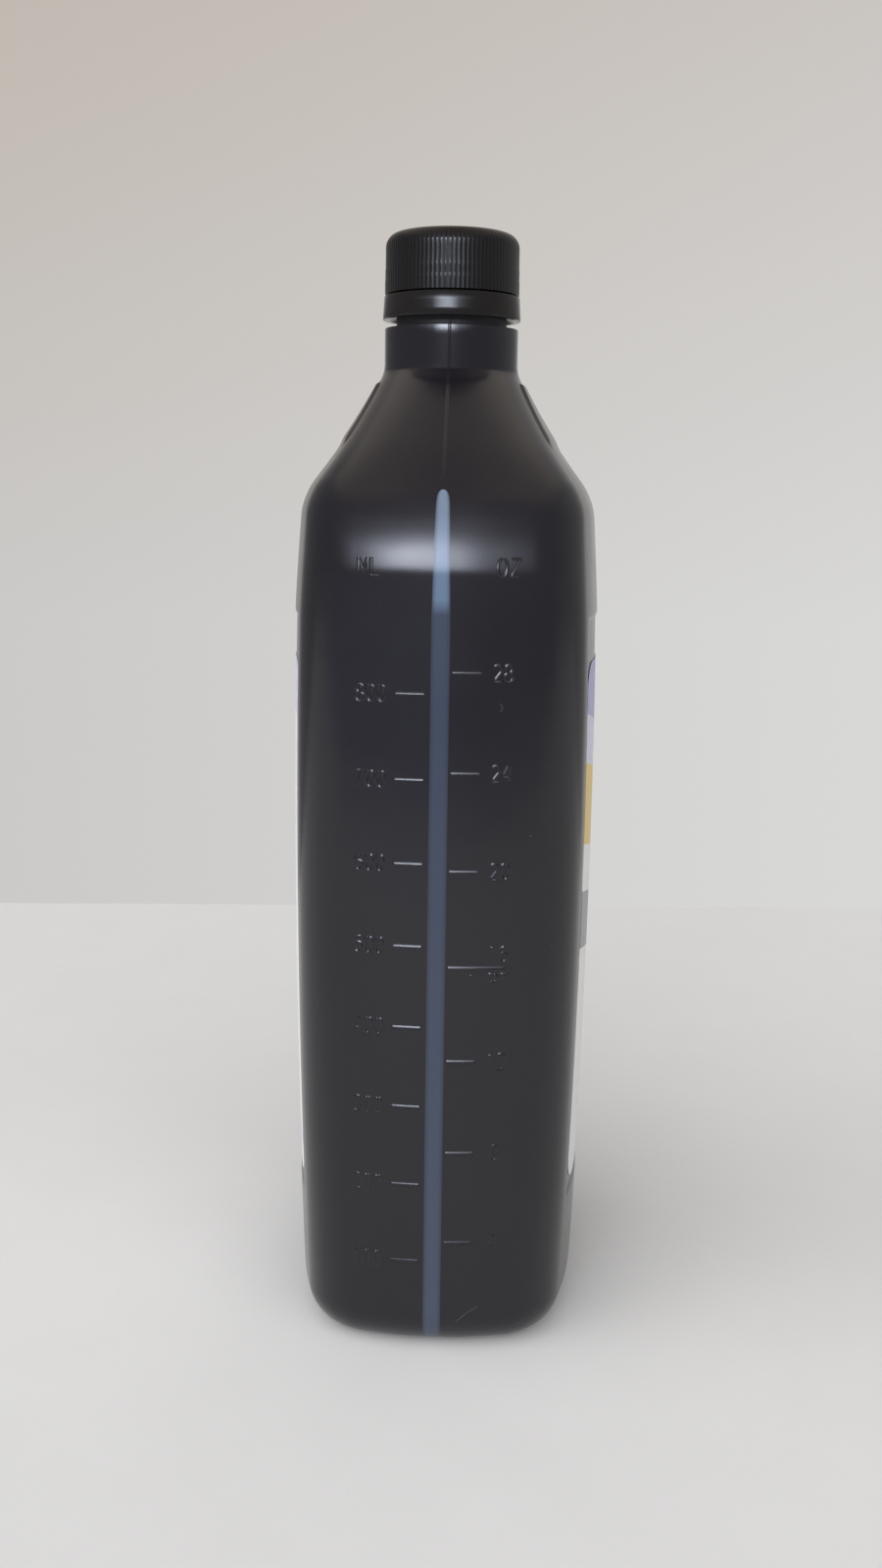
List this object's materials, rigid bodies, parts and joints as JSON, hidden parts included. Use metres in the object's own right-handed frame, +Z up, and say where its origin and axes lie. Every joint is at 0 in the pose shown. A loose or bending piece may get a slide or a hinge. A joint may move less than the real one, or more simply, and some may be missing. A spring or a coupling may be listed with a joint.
{
  "type": "quart bottle with screw cap",
  "caption": "Oblong blown plastic bottle with a clear level strip and raised scale on one narrow side, film labels, and a ribbed screw cap over a tamper band.",
  "frame": {"origin": "centre of the footprint, on the plane the bottle stands on", "axes": "+Z up along the neck and the cap's turning axis; -Y out of the narrow side with the level strip and scale; +X out of the right wide face seen from there"},
  "size_m": [0.0696, 0.0913, 0.2472],
  "materials": {
    "bottle_plastic": "satin blown polyethylene, charcoal black",
    "strip_plastic": "cloudy natural polyethylene",
    "label_film": "satin printed film",
    "band_plastic": "glossy moulded polypropylene",
    "liner_foam": "white foamed liner",
    "cap_plastic": "satin moulded polypropylene, fine upright ribs"
  },
  "bodies": {
    "bottle": {"bottle": "bottle_plastic", "sight_strip": "strip_plastic", "right_label": "label_film", "left_label": "label_film", "tamper_band": "band_plastic"},
    "liner": {"cap_liner": "liner_foam"},
    "cap": {"cap": "cap_plastic"}
  },
  "joints": [
    {"name": "cap_lift", "type": "slide", "parent": "bottle", "child": "liner", "axis": [0, 0, 1], "range_m": [0, 0.01695]},
    {"name": "cap_turn", "type": "hinge", "parent": "liner", "child": "cap", "pos_m": [0, 0, 0.2337], "axis": [0, 0, 1], "range_deg": [0, 1440]}
  ],
  "couplings": [
    {"joint": "cap_lift", "follows": "cap_turn", "m_per_rad": 0.00067376}
  ]
}
